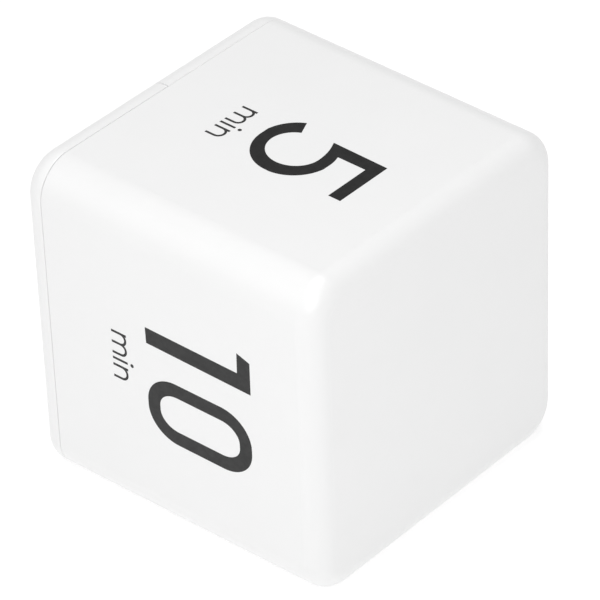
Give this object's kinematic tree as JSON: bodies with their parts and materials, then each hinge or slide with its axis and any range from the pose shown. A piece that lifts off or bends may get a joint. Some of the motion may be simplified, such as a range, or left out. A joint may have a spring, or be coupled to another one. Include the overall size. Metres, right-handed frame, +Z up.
{
  "type": "cube timer",
  "caption": "White cube countdown timer with rounded edges, a printed number face on each of four sides, a display end with a sliding battery door, and a plain end.",
  "frame": {"origin": "bottom centre of the cube's bounding box, on the surface that it stands on", "axes": "+Z up, out of the number face that is turned up; -X out of the display end with the battery door; +X out of the plain end; -Y out of the front number face in the picture"},
  "size_m": [0.063, 0.0634, 0.0634],
  "materials": {
    "white_abs": "smooth moulded white, satin gloss",
    "clear_acrylic": "clear moulded window",
    "display_glass": "grey green reflective display",
    "black_abs": "matt black moulding",
    "grey_abs": "matt grey moulding",
    "elastomer": "layered conductive rubber",
    "board_laminate": "green board lacquer",
    "epoxy": "black cast drop",
    "tinned_steel": "bright tinned or plated steel",
    "cell_sleeve": "shrunk plastic sleeve over a steel can",
    "foam": "dark grey closed foam",
    "red_pvc": "red wire sleeve",
    "black_pvc": "black wire sleeve"
  },
  "bodies": {
    "housing": {"housing_shell": "white_abs", "rear_cover": "white_abs", "display_lens": "clear_acrylic", "display_glass": "display_glass", "display_bezel": "black_abs", "elastomer_strip_lower": "elastomer", "elastomer_strip_upper": "elastomer", "circuit_board": "board_laminate", "timer_chip": "epoxy", "quartz_crystal": "tinned_steel", "capacitor_1": "cell_sleeve", "capacitor_2": "cell_sleeve", "switch_body": "tinned_steel", "buzzer": "black_abs", "tilt_sensor_base": "black_abs", "tilt_sensor_cap": "grey_abs", "tilt_pin_1": "tinned_steel", "tilt_pin_2": "tinned_steel", "tilt_pin_3": "tinned_steel", "tilt_pin_4": "tinned_steel", "battery_cell_outer": "cell_sleeve", "battery_cell_inner": "cell_sleeve", "positive_contact": "tinned_steel", "negative_contact": "tinned_steel", "negative_spring": "tinned_steel", "bridge_contact": "tinned_steel", "bridge_spring": "tinned_steel", "battery_lead_red": "red_pvc", "battery_lead_black": "black_pvc", "cover_screw_1": "tinned_steel", "cover_screw_2": "tinned_steel", "board_screw_1": "tinned_steel", "board_screw_2": "tinned_steel", "board_screw_3": "tinned_steel", "board_screw_4": "tinned_steel"},
    "battery_door": {"battery_door": "white_abs", "door_foam": "foam"},
    "power_switch": {"switch_knob": "grey_abs", "switch_lever": "black_abs"},
    "tilt_ball": {"tilt_ball": "tinned_steel"}
  },
  "joints": [
    {"name": "door_slide", "type": "slide", "parent": "housing", "child": "battery_door", "axis": [0, -1, 0], "range_m": [0, 0.033]},
    {"name": "switch_slide", "type": "slide", "parent": "housing", "child": "power_switch", "axis": [0, 1, 0], "range_m": [0, 0.002]},
    {"name": "ball_roll", "type": "slide", "parent": "housing", "child": "tilt_ball", "axis": [0.0079, 0, 1], "range_m": [0, 0.00453]}
  ]
}
